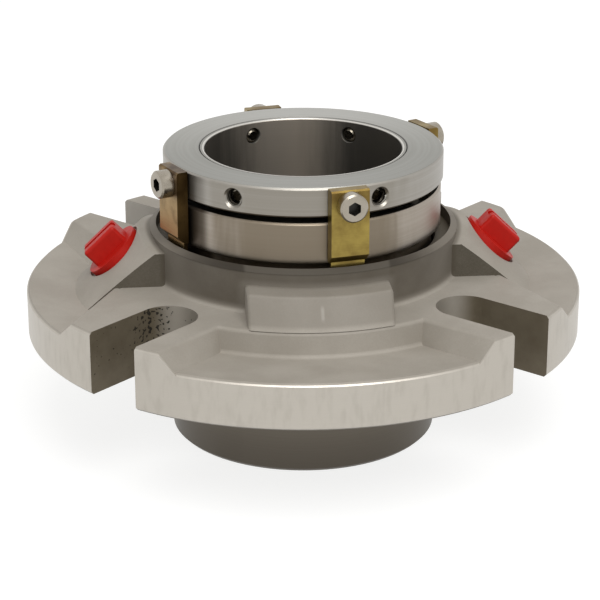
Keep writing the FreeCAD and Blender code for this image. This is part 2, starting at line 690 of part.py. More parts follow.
SETSCREW_HOLE = "%s + %s" % (half("setscrew_diameter"), SLIP)
sleeve_holes = [radial_cylinder("sleeve_hole_%d" % angle, angle, SETSCREW_HEIGHT, "(%s - 1)" % BORE,
                                "(%s + 1)" % CLAMP_SEAT, SETSCREW_HOLE) for angle in SETSCREW_ANGLES]

# Drive pins of the inboard rotary face stand in the sleeve's flange, those of the outboard one in the holder
FACE_PIN = half("face_pin_diameter")
INNER_PIN_CIRCLE = "(%s - %s - %s)" % (ROTARY, size("face_pin_inset"), FACE_PIN)
OUTER_PIN_CIRCLE = "(%s + %s)" % (RIB_BORE, FACE_PIN)
PIN_ENTRY = size("face_pin_entry")
INNER_PIN_LOW = "(%s - %s)" % (FLANGE_TOP, PIN_ENTRY)
INNER_PIN_HIGH = "(%s + %s)" % (INNER_ROTARY_BASE, PIN_ENTRY)
OUTER_PIN_LOW = "(%s - %s)" % (OUTER_ROTARY_BASE, PIN_ENTRY)
OUTER_PIN_HIGH = "(%s + %s)" % (HOLDER_SEAT, PIN_ENTRY)
PIN_SLOT = "(%s + 2 * %s)" % (size("face_pin_diameter"), size("pin_clearance"))
flange_holes = []
holder_holes = []
inner_notches = []
outer_notches = []
inner_pins = []
outer_pins = []
for angle in FACE_PIN_ANGLES:
    inner_pins.append(axial_cylinder("inner_face_pin_%d" % angle, angle, INNER_PIN_CIRCLE, INNER_PIN_LOW,
                                     INNER_PIN_HIGH, FACE_PIN))
    flange_holes.append(axial_cylinder("flange_hole_%d" % angle, angle, INNER_PIN_CIRCLE,
                                       "(%s - %s)" % (INNER_PIN_LOW, SLIP), "(%s + 1)" % FLANGE_TOP,
                                       "%s + %s" % (FACE_PIN, SLIP)))
    inner_notches.append(radial_box("inner_notch_%d" % angle, angle, "(%s - %s / 2)" % (INNER_PIN_CIRCLE, PIN_SLOT),
                                    "(%s + 1)" % ROTARY, PIN_SLOT, "(%s - 1)" % INNER_ROTARY_BASE,
                                    "(%s + %s)" % (INNER_PIN_HIGH, size("pin_clearance"))))
    outer_pins.append(axial_cylinder("outer_face_pin_%d" % angle, angle, OUTER_PIN_CIRCLE, OUTER_PIN_LOW,
                                     OUTER_PIN_HIGH, FACE_PIN))
    holder_holes.append(axial_cylinder("holder_face_hole_%d" % angle, angle, OUTER_PIN_CIRCLE,
                                       "(%s - 1)" % HOLDER_SEAT, "(%s + %s)" % (OUTER_PIN_HIGH, SLIP),
                                       "%s + %s" % (FACE_PIN, SLIP)))
    outer_notches.append(radial_box("outer_notch_%d" % angle, angle, "(%s - 1)" % RIB_BORE,
                                    "(%s + %s / 2)" % (OUTER_PIN_CIRCLE, PIN_SLOT), PIN_SLOT,
                                    "(%s - %s)" % (OUTER_PIN_LOW, size("pin_clearance")),
                                    "(%s + 1)" % OUTER_ROTARY_BASE))
compound("inboard_drive_pins", inner_pins)
compound("outboard_drive_pins", outer_pins)
cut("sleeve", sleeve_tube, sleeve_holes + flange_holes)

# Rotary faces: each has a corner cut away for the O-ring it sits on
inner_rotary_ring = turned("inner_rotary_ring", [
    (SLEEVE_GROOVE, INNER_ROTARY_BASE),
    (ROTARY, INNER_ROTARY_BASE),
    (ROTARY, "%s - %s" % (INNER_ROTARY_FACE, SLEEVE_EDGE)),
    ("%s - %s" % (ROTARY, SLEEVE_EDGE), INNER_ROTARY_FACE),
    (SLIP_BORE, INNER_ROTARY_FACE),
    (SLIP_BORE, "%s + %s" % (FLANGE_TOP, GROOVE_DEPTH)),
    (SLEEVE_GROOVE, "%s + %s" % (FLANGE_TOP, GROOVE_DEPTH)),
])
cut("inboard_rotary_face", inner_rotary_ring, inner_notches)
cord_ring("inboard_rotary_o_ring", "%s + %s" % (SLEEVE, RING_INSET), "%s + %s" % (FLANGE_TOP, RING_INSET))

CAVITY_GROOVE = "(%s - %s)" % (CAVITY, GROOVE_DEPTH)
outer_rotary_ring = turned("outer_rotary_ring", [
    (RIB_BORE, OUTER_ROTARY_FACE),
    ("%s - %s" % (ROTARY, SLEEVE_EDGE), OUTER_ROTARY_FACE),
    (ROTARY, "%s + %s" % (OUTER_ROTARY_FACE, SLEEVE_EDGE)),
    (ROTARY, "%s - %s" % (HOLDER_SEAT, GROOVE_DEPTH)),
    (CAVITY_GROOVE, "%s - %s" % (HOLDER_SEAT, GROOVE_DEPTH)),
    (CAVITY_GROOVE, OUTER_ROTARY_BASE),
    (RIB_BORE, OUTER_ROTARY_BASE),
])
cut("outboard_rotary_face", outer_rotary_ring, outer_notches)
cord_ring("outboard_rotary_o_ring", "%s - %s" % (CAVITY, RING_INSET), "%s - %s" % (HOLDER_SEAT, RING_INSET))

# Stationary faces: a narrow track on a land that holds the O-ring, and slots for the stop pins
BORE_GROOVE = "(%s - %s)" % (GLAND_BORE, GROOVE_DEPTH)
LAND_MARGIN = "((%s - %s) / 2)" % (size("face_land"), GROOVE_WIDTH)
STOP_SLOT = "(%s + 2 * %s)" % (size("stop_pin_diameter"), size("pin_clearance"))
STOP_SLOT_FLOOR = "(%s - %s)" % (STOP_TIP, size("pin_clearance"))
STOP_SLOT_END = "(%s + %s + %s)" % (OUTER_STOP, half("stop_pin_diameter"),
                                    "%s + %s" % (size("face_travel"), size("pin_clearance")))
for side, hand, face in (("inboard", "-", INNER_STATIONARY_FACE), ("outboard", "", OUTER_STATIONARY_FACE)):
    back = hand + STATIONARY_BACK
    inwards = "-" if side == "outboard" else "+"
    land = "(%s %s %s)" % (face, inwards, size("track_height"))
    groove_high = "(%s %s %s)" % (land, inwards, LAND_MARGIN)
    groove_low = "(%s %s %s)" % (groove_high, inwards, GROOVE_WIDTH)
    ring = turned("%s_stationary_ring" % side, [
        (RIB_BORE, back),
        (RELIEF, back),
        (RELIEF, "(%s %s %s)" % (land, inwards, size("face_land"))),
        (STATIONARY, "(%s %s %s)" % (land, inwards, size("face_land"))),
        (STATIONARY, groove_low),
        (BORE_GROOVE, groove_low),
        (BORE_GROOVE, groove_high),
        (STATIONARY, groove_high),
        (STATIONARY, land),
        (TRACK, land),
        (TRACK, face),
        (RIB_BORE, face),
    ])
    slots = []
    for angle in STOP_PIN_ANGLES:
        ends = ("(%s - 1)" % STATIONARY_BACK, STOP_SLOT_END)
        if side == "inboard":
            ends = ("(-%s)" % STOP_SLOT_END, "(1 - %s)" % STATIONARY_BACK)
        slots.append(radial_box("%s_stop_slot_%d" % (side, angle), angle, STOP_SLOT_FLOOR, "(%s + 1)" % GLAND_BORE,
                                STOP_SLOT, ends[0], ends[1]))
    cut("%s_stationary_face" % side, ring, slots)
    cord_ring("%s_stationary_o_ring" % side, "%s - %s" % (GLAND_BORE, RING_INSET),
              "(%s + %s) / 2" % (groove_low, groove_high))


# Wave springs between the gland's rib and the stationary faces
WAVES = 4
WAVE_POINTS = 48


def wave_edge(radius, height, swing):
    """A closed curve round the axis that rises and falls WAVES times."""
    curve = Part.BSplineCurve()
    points = []
    for i in range(WAVE_POINTS):
        turn = 2 * math.pi * i / WAVE_POINTS
        points.append(Vector(radius * math.cos(turn), radius * math.sin(turn), height + swing * math.cos(WAVES * turn)))
    curve.interpolate(points, PeriodicFlag=True)
    return curve.toShape()


def wave_spring(label, base):
    """A strip on edge between two waved rings, standing on base."""
    strip = number(size("spring_strip"))
    swing = (number(size("spring_room")) - 2 * number(SLIP) - strip) / 2
    inner = number(RIB_BORE) + number(size("spring_inset"))
    outer = inner + number(size("spring_width"))
    low = [wave_edge(radius, swing, swing) for radius in (inner, outer)]
    high = [wave_edge(radius, swing + strip, swing) for radius in (inner, outer)]
    faces = [Part.makeRuledSurface(low[0], low[1]), Part.makeRuledSurface(high[0], high[1]),
             Part.makeRuledSurface(low[0], high[0]), Part.makeRuledSurface(low[1], high[1])]
    shell = Part.makeShell(faces)
    shell.sewShape()
    body = Part.makeSolid(shell)
    if body.Volume < 0:
        body.reverse()
    spring = doc.addObject("Part::Feature", label)
    spring.Shape = body
    spring.Placement = Placement(Vector(0, 0, number(base)), Rotation())
    return spring


wave_spring("outboard_spring", "%s + %s" % (HALF_RIB, SLIP))
wave_spring("inboard_spring", "-%s + %s" % (STATIONARY_BACK, SLIP))

# Holder of the outboard rotary face, under the clamp ring and turned by two pins from it
HOLDER_GROOVE_LOW = "(%s + %s)" % (HOLDER_SEAT, size("holder_ring_offset"))
HOLDER_GROOVE_HIGH = "(%s + %s)" % (HOLDER_GROOVE_LOW, GROOVE_WIDTH)
holder_ring = turned("holder_ring", [
    (SLIP_BORE, HOLDER_SEAT),
    (CAVITY, HOLDER_SEAT),
    (CAVITY, SKIRT_END),
    (SKIRT, SKIRT_END),
    (SKIRT, HOLDER_EDGE),
    ("%s - %s" % (HOLDER, EDGE), HOLDER_EDGE),
    (HOLDER, "%s + %s" % (HOLDER_EDGE, EDGE)),
    (HOLDER, "%s - %s" % (HOLDER_TOP, EDGE)),
    ("%s - %s" % (HOLDER, EDGE), HOLDER_TOP),
    (SLIP_BORE, HOLDER_TOP),
    (SLIP_BORE, HOLDER_GROOVE_HIGH),
    (SLEEVE_GROOVE, HOLDER_GROOVE_HIGH),
    (SLEEVE_GROOVE, HOLDER_GROOVE_LOW),
    (SLIP_BORE, HOLDER_GROOVE_LOW),
])
cord_ring("holder_o_ring", "%s + %s" % (SLEEVE, RING_INSET), "(%s + %s) / 2" % (HOLDER_GROOVE_LOW, HOLDER_GROOVE_HIGH))

# Pins from the holder up into the clamp ring
DRIVE_LOW = "(%s - %s)" % (HOLDER_TOP, size("drive_pin_entry"))
DRIVE_HIGH = "(%s + %s)" % (CLAMP_BASE, size("drive_pin_entry"))
drive_pins = []
drive_holes_low = []
drive_holes_high = []
for angle in DRIVE_PIN_ANGLES:
    radius = half("drive_pin_diameter")
    loose = "%s + %s" % (radius, SLIP)
    drive_pins.append(axial_cylinder("drive_pin_%d" % angle, angle, DRIVE_PIN_CIRCLE, DRIVE_LOW, DRIVE_HIGH, radius))
    drive_holes_low.append(axial_cylinder("drive_hole_low_%d" % angle, angle, DRIVE_PIN_CIRCLE,
                                          "(%s - %s)" % (DRIVE_LOW, SLIP), "(%s + 1)" % HOLDER_TOP, loose))
    drive_holes_high.append(axial_cylinder("drive_hole_high_%d" % angle, angle, DRIVE_PIN_CIRCLE,
                                           "(%s - 1)" % CLAMP_BASE, "(%s + %s)" % (DRIVE_HIGH, SLIP), loose))
compound("holder_drive_pins", drive_pins)
cut("rotary_holder", holder_ring, holder_holes + drive_holes_low)

# Retaining ring that keeps the holder on the sleeve
RETAINING_IN = "(%s + %s)" % (RETAINING_FLOOR, SLIP)
ring_blank = solid("Cylinder", "retaining_blank", Radius="%s + %s" % (RETAINING_IN, size("retaining_width")),
                   Height=size("retaining_thickness"), Angle="360 - %s" % size("retaining_opening"))
ring_hole = solid("Cylinder", "retaining_hole", Radius=RETAINING_IN, Height=size("retaining_thickness"))
place(ring_blank, z=RETAINING_BASE)
place(ring_hole, z=RETAINING_BASE)
cut("retaining_ring", ring_blank, [ring_hole])

# Clamp ring, with radial tapped holes for the setscrews and the clips' screws
clamp_blank = turned("clamp_blank", [
    ("%s + %s" % (CLAMP_BORE, SLEEVE_EDGE), CLAMP_BASE),
    ("%s - %s" % (CLAMP, EDGE), CLAMP_BASE),
    (CLAMP, "%s + %s" % (CLAMP_BASE, EDGE)),
    (CLAMP, "%s - %s" % (CLAMP_TOP, EDGE)),
    ("%s - %s" % (CLAMP, EDGE), CLAMP_TOP),
    ("%s + %s" % (CLAMP_BORE, SLEEVE_EDGE), CLAMP_TOP),
    (CLAMP_BORE, "%s - %s" % (CLAMP_TOP, SLEEVE_EDGE)),
    (CLAMP_BORE, "%s + %s" % (CLAMP_BASE, SLEEVE_EDGE)),
])
CLIP_SCREW_SEAT = "(%s + %s)" % (CLIP_FACE, SLIP)
CLIP_SCREW_END = "(%s - %s)" % (CLIP_SCREW_SEAT, size("clip_screw_length"))
COUNTERSINK = size("setscrew_countersink")
clamp_holes = []
for angle in SETSCREW_ANGLES:
    clamp_holes.append(radial_cylinder("clamp_hole_%d" % angle, angle, SETSCREW_HEIGHT, "(%s - 1)" % CLAMP_SEAT,
                                       "(%s + 1)" % CLAMP, SETSCREW_HOLE))
    clamp_holes.append(radial_cone("clamp_countersink_%d" % angle, angle, SETSCREW_HEIGHT,
                                   "(%s - %s)" % (CLAMP, COUNTERSINK), "(%s + %s)" % (CLAMP, COUNTERSINK),
                                   SETSCREW_HOLE, "%s + 2 * %s" % (SETSCREW_HOLE, COUNTERSINK)))
for side, angle in zip(CLIP_SIDES, CLIP_ANGLES):
    clamp_holes.append(radial_cylinder("clip_screw_hole_" + side, angle, CLIP_SCREW_HEIGHT,
                                       "(%s - %s)" % (CLIP_SCREW_END, size("pin_clearance")), "(%s + 1)" % CLAMP,
                                       "%s + %s" % (half("clip_screw_diameter"), SLIP)))
cut("clamp_ring", clamp_blank, clamp_holes + drive_holes_high)

# Setscrews, drawn along +Z from the flat point
SETSCREW_TIP = "(%s + %s)" % (BORE, SLIP)
SETSCREW_LENGTH = "(%s - %s - %s)" % (CLAMP, size("setscrew_sink"), SETSCREW_TIP)
POINT = size("setscrew_point")
setscrew_list = []
for angle in SETSCREW_ANGLES:
    point = solid("Cone", "setscrew_point_%d" % angle, Height=POINT, Radius2=half("setscrew_diameter"),
                  Radius1="%s - %s" % (half("setscrew_diameter"), POINT))
    thread = solid("Cylinder", "setscrew_thread_%d" % angle, Radius=half("setscrew_diameter"),
                   Height="%s - %s" % (SETSCREW_LENGTH, POINT))
    place(thread, z=POINT)
    socket = solid("Prism", "setscrew_socket_%d" % angle, Circumradius="%s / sqrt(3)" % size("setscrew_socket"),
                   Height=size("setscrew_socket_depth"))
    place(socket, z="%s - %s" % (SETSCREW_LENGTH, size("setscrew_socket_depth")))
    screw = cut("setscrew_%d" % angle, fused("setscrew_body_%d" % angle, [point, thread]), [socket])
    place(screw, radial(angle), z=SETSCREW_HEIGHT, **outwards(angle, SETSCREW_TIP))
    setscrew_list.append(screw)
compound("setscrews", setscrew_list)

# Clips that hang from the clamp ring and hook behind the gland's lip, and the screws they swing on
clip_screw_list = []
CLIP_TOP = CLAMP_TOP
for side, angle in zip(CLIP_SIDES, CLIP_ANGLES):
    plate = extruded("clip_plate_" + side, [
        (CLIP_BACK, CLIP_SHOULDER),
        (CLIP_FOOT_FACE, CLIP_SHOULDER),
        (CLIP_FACE, "%s + %s - %s" % (CLIP_SHOULDER, CLIP_FACE, CLIP_FOOT_FACE)),
        (CLIP_FACE, "%s - %s" % (CLIP_TOP, size("clip_edge"))),
        ("%s - %s" % (CLIP_FACE, size("clip_edge")), CLIP_TOP),
        (CLIP_BACK, CLIP_TOP),
    ], size("clip_width"))
    foot = extruded("clip_foot_" + side, [
        (CLIP_BACK, CLIP_FOOT_END),
        (CLIP_FOOT_FACE, CLIP_FOOT_END),
        (CLIP_FOOT_FACE, "%s + 1" % CLIP_SHOULDER),
        (CLIP_BACK, "%s + 1" % CLIP_SHOULDER),
    ], size("clip_foot_width"))
    for piece in (plate, foot):
        piece.Placement = Placement(Vector(), Rotation(Vector(0, 0, 1), angle - 90))
    hole = radial_cylinder("clip_hole_" + side, angle, CLIP_SCREW_HEIGHT, "(%s - 1)" % CLIP_BACK,
                           "(%s + 1)" % CLIP_FACE, "%s + %s" % (half("clip_screw_diameter"), size("clip_screw_gap")))
    cut("clip_" + side, fused("clip_body_" + side, [plate, foot]), [hole])

    shank = solid("Cylinder", "clip_shank_" + side, Radius=half("clip_screw_diameter"), Height=size("clip_screw_length"))
    place(shank, z="-" + size("clip_screw_length"))
    head = solid("Cylinder", "clip_head_" + side, Radius=half("clip_head_diameter"),
                 Height="%s - %s" % (size("clip_head_height"), size("clip_head_edge")))
    crown = solid("Cone", "clip_crown_" + side, Radius1=half("clip_head_diameter"),
                  Radius2="%s - %s" % (half("clip_head_diameter"), size("clip_head_edge")),
                  Height=size("clip_head_edge"))
    place(crown, z="%s - %s" % (size("clip_head_height"), size("clip_head_edge")))
    socket = solid("Prism", "clip_socket_" + side, Circumradius="%s / sqrt(3)" % size("clip_head_socket"),
                   Height=size("clip_head_socket_depth"))
    place(socket, z="%s - %s" % (size("clip_head_height"), size("clip_head_socket_depth")))
    screw = cut("clip_screw_" + side, fused("clip_screw_body_" + side, [shank, head, crown]), [socket])
    place(screw, radial(angle), z=CLIP_SCREW_HEIGHT, **outwards(angle, CLIP_SCREW_SEAT))
    clip_screw_list.append(screw)
compound("clip_screws", clip_screw_list)

# The finished pieces
PIECES = [
    "gland", "gland_o_ring", "port_plug_left", "port_plug_right", "stop_pins", "inboard_spring", "outboard_spring",
    "inboard_stationary_face", "inboard_stationary_o_ring", "outboard_stationary_face", "outboard_stationary_o_ring",
    "sleeve", "shaft_o_ring", "inboard_rotary_face", "inboard_rotary_o_ring", "inboard_drive_pins",
    "rotary_holder", "holder_o_ring", "outboard_rotary_face", "outboard_rotary_o_ring", "outboard_drive_pins",
    "retaining_ring", "clamp_ring", "holder_drive_pins", "setscrews", "clip_screws",
    "clip_front", "clip_right", "clip_back", "clip_left",
]
doc.recompute()
for item in doc.Objects:
    if "Invalid" in item.State or "Error" in item.State:
        raise RuntimeError("%s failed: %s" % (item.Label, item.State))
for name in PIECES:
    shape = doc.getObject(name).Shape
    if shape.isNull() or not shape.isValid():
        raise RuntimeError("%s has no valid shape" % name)

os.makedirs("parts", exist_ok=True)
for name in PIECES:
    piece = doc.getObject(name)
    piece.Shape.exportStep(os.path.join("parts", piece.Label + ".step"))
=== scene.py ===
import math

import bpy
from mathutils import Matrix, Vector


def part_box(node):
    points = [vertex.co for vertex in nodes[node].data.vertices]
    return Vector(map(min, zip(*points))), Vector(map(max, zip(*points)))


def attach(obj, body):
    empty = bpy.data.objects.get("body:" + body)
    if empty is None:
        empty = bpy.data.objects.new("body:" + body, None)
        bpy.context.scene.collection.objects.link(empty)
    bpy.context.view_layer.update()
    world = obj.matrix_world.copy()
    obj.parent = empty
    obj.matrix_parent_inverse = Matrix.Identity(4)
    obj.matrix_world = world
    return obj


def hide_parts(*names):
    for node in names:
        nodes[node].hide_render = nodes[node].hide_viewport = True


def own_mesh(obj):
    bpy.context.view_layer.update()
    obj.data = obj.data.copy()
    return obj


# Lengths are in metres, the frame's own unit. The axis of the seal is Z, and -Y faces the viewer.
# Angles round the axis are in degrees, from -Y towards +X.
MM = 0.001

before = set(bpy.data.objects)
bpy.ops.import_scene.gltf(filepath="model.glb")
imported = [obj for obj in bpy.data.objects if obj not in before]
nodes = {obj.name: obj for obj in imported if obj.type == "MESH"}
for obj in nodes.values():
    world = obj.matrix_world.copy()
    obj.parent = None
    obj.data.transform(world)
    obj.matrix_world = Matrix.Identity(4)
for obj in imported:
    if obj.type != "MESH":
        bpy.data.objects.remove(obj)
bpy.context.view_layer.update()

# Sizes of the metal parts, read from the frame
gland_low, gland_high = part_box("gland")
GLAND_RADIUS = gland_high.x
NOSE_BOTTOM = gland_low.z
LIP_TOP = gland_high.z
CLAMP_LOW, CLAMP_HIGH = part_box("clamp_ring")
CLAMP_RADIUS = CLAMP_HIGH.x
CLAMP_TOP = CLAMP_HIGH.z
HOLDER_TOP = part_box("rotary_holder")[1].z

# Sizes of edges that lie inside those boxes
RECESS_RADIUS = 37.7 * MM
HUB_RADIUS = 39.3 * MM
PAD_TOP = 16.0 * MM
BOSS_HALF = 17.6 * MM
BOSS_TOP = 24.0 * MM
BOSS_FRONT_RADIUS = 44.0 * MM
PORT_BOSS_HALF = 15.5 * MM
SLOT_HALF_WIDTH = 7.25 * MM
SLOT_START_RADIUS = 43.0 * MM
CLAMP_BORE = 26.15 * MM

# Clips and setscrews
CLIP_ANGLES = [11.5, 116.5, 191.5, 295.0]
CLIP_SCREW_HEIGHT = 43.3 * MM
HEAD_OUTER_END = 41.65 * MM
SOCKET_RADIUS = 1.8 * MM
SOCKET_DEPTH = 2.1 * MM
SETSCREW_ANGLES = [26, 86, 146, 206, 266, 326]
SETSCREW_HEIGHT = CLAMP_TOP - 3.8 * MM
SETSCREW_HOLE_RADIUS = 2.15 * MM
THREAD_PITCH = 0.8 * MM

# Camera
AIM = Vector((0.0, 0.0, 9.48 * MM))
AZIMUTH = -5.57
ELEVATION = 20.56
DISTANCE = 549.3 * MM
LENS = 127.17
SENSOR = 36.0
SHIFT_X = -0.00532
SHIFT_Y = -0.02607

# Floor and light
FLOOR_SIZE = 6.0
FLOOR_HEIGHT = NOSE_BOTTOM
FLOOR_GREY = (0.30, 0.30, 0.296)
FLOOR_GLOW = (1.0, 1.0, 0.995)
FLOOR_GLOW_STRENGTH = 0.82
SKY = (1.0, 0.995, 0.985)
SKY_LIGHT = 0.48
SKY_AS_SEEN = 1.0
LAMP_SPOT = (0.1, -0.8, 1.22)
LAMP_SIZE = 0.9
LAMP_POWER = 13.0


def deselect_all():
    for thing in bpy.context.selected_objects:
        thing.select_set(False)


def make_active(thing):
    deselect_all()
    thing.select_set(True)
    bpy.context.view_layer.objects.active = thing


def place_camera():
    azimuth = math.radians(AZIMUTH)
    elevation = math.radians(ELEVATION)
    towards_camera = Vector((
        math.sin(azimuth) * math.cos(elevation),
        -math.cos(azimuth) * math.cos(elevation),
        math.sin(elevation),
    ))
    bpy.ops.object.camera_add(location=AIM + towards_camera * DISTANCE)
    camera = bpy.context.active_object
    camera.name = "camera"
    camera.rotation_euler = towards_camera.to_track_quat("Z", "Y").to_euler()
    camera.data.lens = LENS
    camera.data.sensor_width = SENSOR
    camera.data.shift_x = SHIFT_X
    camera.data.shift_y = SHIFT_Y
    camera.data.clip_start = 10 * MM
    camera.data.dof.use_dof = False
    bpy.context.scene.camera = camera


# Building blocks of the materials
def start_material(name):
    material = bpy.data.materials.new(name)
    material.use_nodes = True
    tree = material.node_tree
    shader = tree.nodes["Principled BSDF"]
    return material, tree, shader


def object_place(tree):
    """The place on the part, split into x, y, z and the distance from the axis."""
    coordinates = tree.nodes.new("ShaderNodeTexCoord")
    split = tree.nodes.new("ShaderNodeSeparateXYZ")
    tree.links.new(coordinates.outputs["Object"], split.inputs[0])
    flat = tree.nodes.new("ShaderNodeCombineXYZ")
    tree.links.new(split.outputs["X"], flat.inputs["X"])
    tree.links.new(split.outputs["Y"], flat.inputs["Y"])
    length = tree.nodes.new("ShaderNodeVectorMath")
    length.operation = "LENGTH"
    tree.links.new(flat.outputs[0], length.inputs[0])
    return {
        "all": coordinates.outputs["Object"],
        "x": split.outputs["X"],
        "y": split.outputs["Y"],
        "z": split.outputs["Z"],
        "radius": length.outputs["Value"],
    }


def plug_in(tree, socket, value):
    """Gives a socket another node's output, or a number, or a colour of three numbers."""
    if hasattr(value, "is_output"):
        tree.links.new(value, socket)
    elif socket.type == "RGBA":
        socket.default_value = (*value, 1)
    else:
        socket.default_value = value


def reckon(tree, operation, first, second=0.0):
    node = tree.nodes.new("ShaderNodeMath")
    node.operation = operation
    plug_in(tree, node.inputs[0], first)
    plug_in(tree, node.inputs[1], second)
    return node.outputs[0]


def product(tree, first, *others):
    for other in others:
        first = reckon(tree, "MULTIPLY", first, other)
    return first


def rest_of(tree, amount):
    return reckon(tree, "SUBTRACT", 1.0, amount)


def fade(tree, value, start, end, low=0.0, high=1.0):
    """Goes smoothly from low to high while the value goes from start to end."""
    node = tree.nodes.new("ShaderNodeMapRange")
    node.interpolation_type = "SMOOTHSTEP"
    plug_in(tree, node.inputs["Value"], value)
    node.inputs["From Min"].default_value = start
    node.inputs["From Max"].default_value = end
    node.inputs["To Min"].default_value = low
    node.inputs["To Max"].default_value = high
    return node.outputs["Result"]


def blend_colour(tree, amount, first, second, blend="MIX"):
    node = tree.nodes.new("ShaderNodeMix")
    node.data_type = "RGBA"
    node.blend_type = blend
    plug_in(tree, node.inputs[0], amount)
    plug_in(tree, node.inputs[6], first)
    plug_in(tree, node.inputs[7], second)
    return node.outputs[2]


def grain(tree, where, scale, detail=3.0):
    node = tree.nodes.new("ShaderNodeTexNoise")
    tree.links.new(where, node.inputs["Vector"])
    node.inputs["Scale"].default_value = scale
    node.inputs["Detail"].default_value = detail
    node.inputs["Roughness"].default_value = 0.55
    return node.outputs["Fac"]


def turning_lines(tree, place, scale):
    """Fine rings round the axis, as a lathe tool leaves them on any turned face."""
    node = tree.nodes.new("ShaderNodeCombineXYZ")
    tree.links.new(place["radius"], node.inputs["X"])
    tree.links.new(place["z"], node.inputs["Y"])
    return grain(tree, node.outputs[0], scale, detail=2.0)


def streaks(tree, place, scale):
    """Upright streaks round the axis, which change with the side and hardly with the height."""
    node = tree.nodes.new("ShaderNodeCombineXYZ")
    tree.links.new(reckon(tree, "DIVIDE", place["x"], place["radius"]), node.inputs["X"])
    tree.links.new(reckon(tree, "DIVIDE", place["y"], place["radius"]), node.inputs["Y"])
    tree.links.new(product(tree, place["z"], 4.0), node.inputs["Z"])
    return grain(tree, node.outputs[0], scale)


def facing(tree, place, turn):
    """Cosine of the angle round the axis between a place and a turn."""
    east = product(tree, place["x"], math.sin(math.radians(turn)))
    south = product(tree, place["y"], -math.cos(math.radians(turn)))
    return reckon(tree, "DIVIDE", reckon(tree, "ADD", east, south), place["radius"])


def beside(degrees):
    """What facing gives at so many degrees beside its turn."""
    return math.cos(math.radians(degrees))


def give(tree, shader, base_colour=None, metallic=None, roughness=None, specular=None):
    """Sets the shader's main sockets and leaves alone those that aren't named."""
    values = {
        "Base Color": base_colour,
        "Metallic": metallic,
        "Roughness": roughness,
        "Specular IOR Level": specular,
    }
    for socket, value in values.items():
        if value is not None:
            plug_in(tree, shader.inputs[socket], value)


def relief(tree, shader, height, distance, strength):
    node = tree.nodes.new("ShaderNodeBump")
    node.inputs["Strength"].default_value = strength
    node.inputs["Distance"].default_value = distance
    tree.links.new(height, node.inputs["Height"])
    tree.links.new(node.outputs[0], shader.inputs["Normal"])


# The gland's casting
SPECKLE_TONE = (0.24, 0.216, 0.182)
# Painted shade for the hub's wall.
HUB_PAINTED_SHADE = (0.082, 0.067, 0.047)
# Painted shade for the lip's front edge, and the turn it faces.
LIP_PAINTED_SHADE = (0.03, 0.024, 0.017)
LIP_PAINTED_SHADE_TURN = 355
# Painted shade for a plain boss's front.
BOSS_PAINTED_SHADE = (0.16, 0.142, 0.115)
# A painted glint on a plain boss's front, and its height.
BOSS_GLINT = (0.6, 0.57, 0.52)
GLINT_HEIGHT = PAD_TOP + 3.8 * MM
RIM_DARK = (0.44, 0.408, 0.36)
RIM_LIGHT = (0.53, 0.497, 0.445)
RIM_SMEAR = (0.30, 0.272, 0.232)


def painted_shade_on_hub(tree, place, mottle):
    """Painted shade on the hub's wall: most on the wall, less round the plain bosses, and a little less
    away from the front.
    """
    wall = fade(tree, place["radius"], HUB_RADIUS + 1.6 * MM, HUB_RADIUS + 0.3 * MM)
    above_pads = fade(tree, place["z"], PAD_TOP - 0.5 * MM, PAD_TOP + 2.5 * MM)
    aside = reckon(tree, "ABSOLUTE", place["x"])
    beside_boss = fade(tree, aside, BOSS_HALF + 2.5 * MM, BOSS_HALF - 3.0 * MM)
    below_boss_top = fade(tree, place["z"], BOSS_TOP + 1.2 * MM, BOSS_TOP - 1.0 * MM)
    away_from_boss = rest_of(tree, product(tree, beside_boss, below_boss_top, 0.7))
    front = fade(tree, place["y"], -22 * MM, -37 * MM, low=0.82)
    patches = fade(tree, mottle, 0.25, 0.75, low=0.7, high=0.95)
    return product(tree, wall, above_pads, away_from_boss, front, patches)


# Painted shade on the lip's front edge, on the side that faces the viewer.
def painted_shade_on_lip(tree, place):
    edge = fade(tree, place["z"], LIP_TOP - 1.6 * MM, LIP_TOP - 0.9 * MM)
    side = fade(tree, facing(tree, place, LIP_PAINTED_SHADE_TURN), 0.45, 0.9, high=0.92)
    wall = fade(tree, place["radius"], HUB_RADIUS + 1.0 * MM, HUB_RADIUS + 0.3 * MM)
    return product(tree, edge, side, wall)


def on_plain_boss(tree, place):
    aside = reckon(tree, "ABSOLUTE", place["x"])
    across = fade(tree, aside, BOSS_HALF + 0.5 * MM, BOSS_HALF - 0.5 * MM)
    return product(tree, across, fade(tree, place["z"], PAD_TOP + 0.3 * MM, PAD_TOP + 1.5 * MM))


def glint_on_boss(tree, place):
    """A painted glint: a short pale upright line in the middle of a plain boss's front."""
    aside = reckon(tree, "ABSOLUTE", place["x"])
    off_height = reckon(tree, "ABSOLUTE", reckon(tree, "SUBTRACT", place["z"], GLINT_HEIGHT))
    line = fade(tree, aside, 0.65 * MM, 0.1 * MM)
    ends = fade(tree, off_height, 2.0 * MM, 0.8 * MM, high=0.26)
    front = fade(tree, place["radius"], BOSS_FRONT_RADIUS, BOSS_FRONT_RADIUS + 1 * MM)
    return product(tree, line, ends, front)


